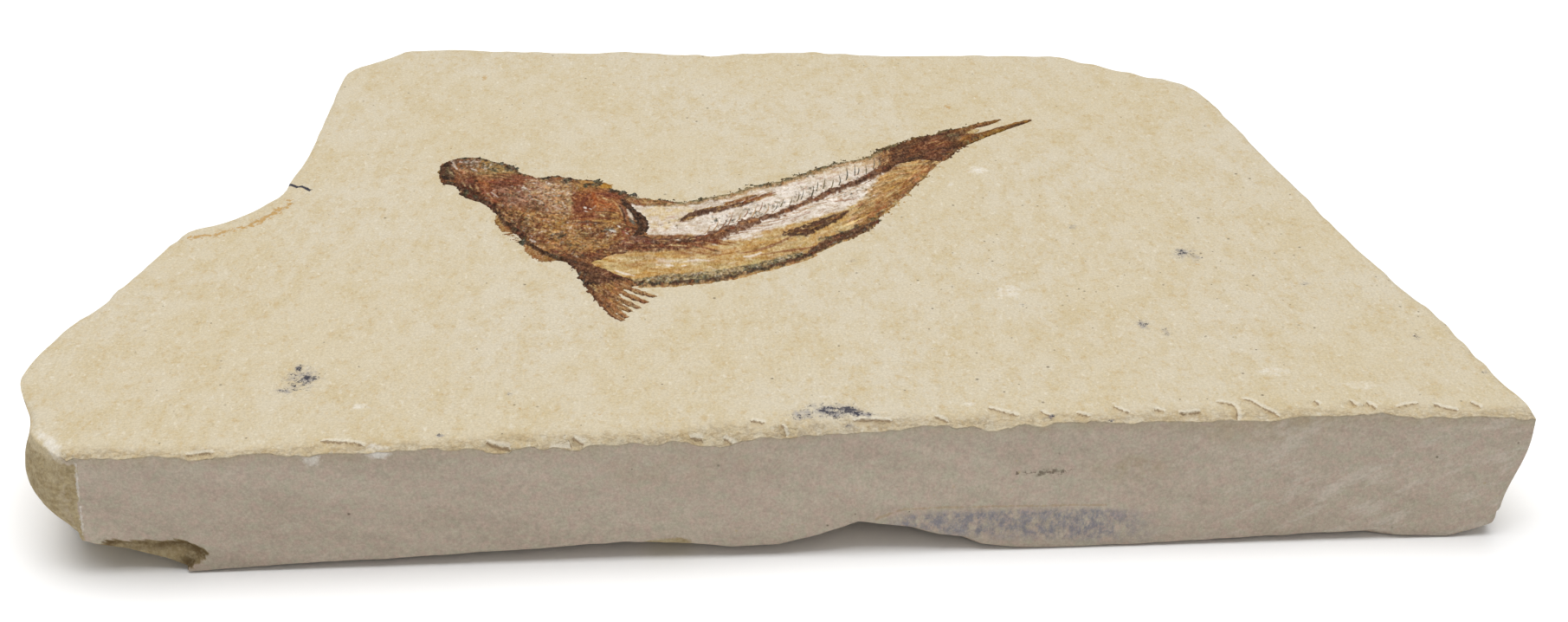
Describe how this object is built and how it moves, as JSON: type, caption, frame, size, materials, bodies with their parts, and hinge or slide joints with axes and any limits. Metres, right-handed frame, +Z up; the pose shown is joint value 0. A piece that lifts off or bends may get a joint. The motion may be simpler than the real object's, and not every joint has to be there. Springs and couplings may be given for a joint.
{
  "type": "fossil fish slab",
  "caption": "Broken slab of pale bedded limestone, sawn along its front, with a flattened fossil fish lying in low relief on its upper face.",
  "frame": {"origin": "middle of the bounding box in plan, on the surface the slab rests on", "axes": "+X along the sawn front face from left to right, +Y from the sawn face to the broken rear, +Z up out of the face that carries the fish"},
  "size_m": [0.19, 0.1244, 0.0203],
  "materials": {
    "limestone": "matte, fine-grained, cream",
    "fossil_bone": "satin brown petrified bone"
  },
  "bodies": {
    "root": {"limestone_slab": "limestone", "fossil_fish": "fossil_bone"}
  },
  "joints": []
}
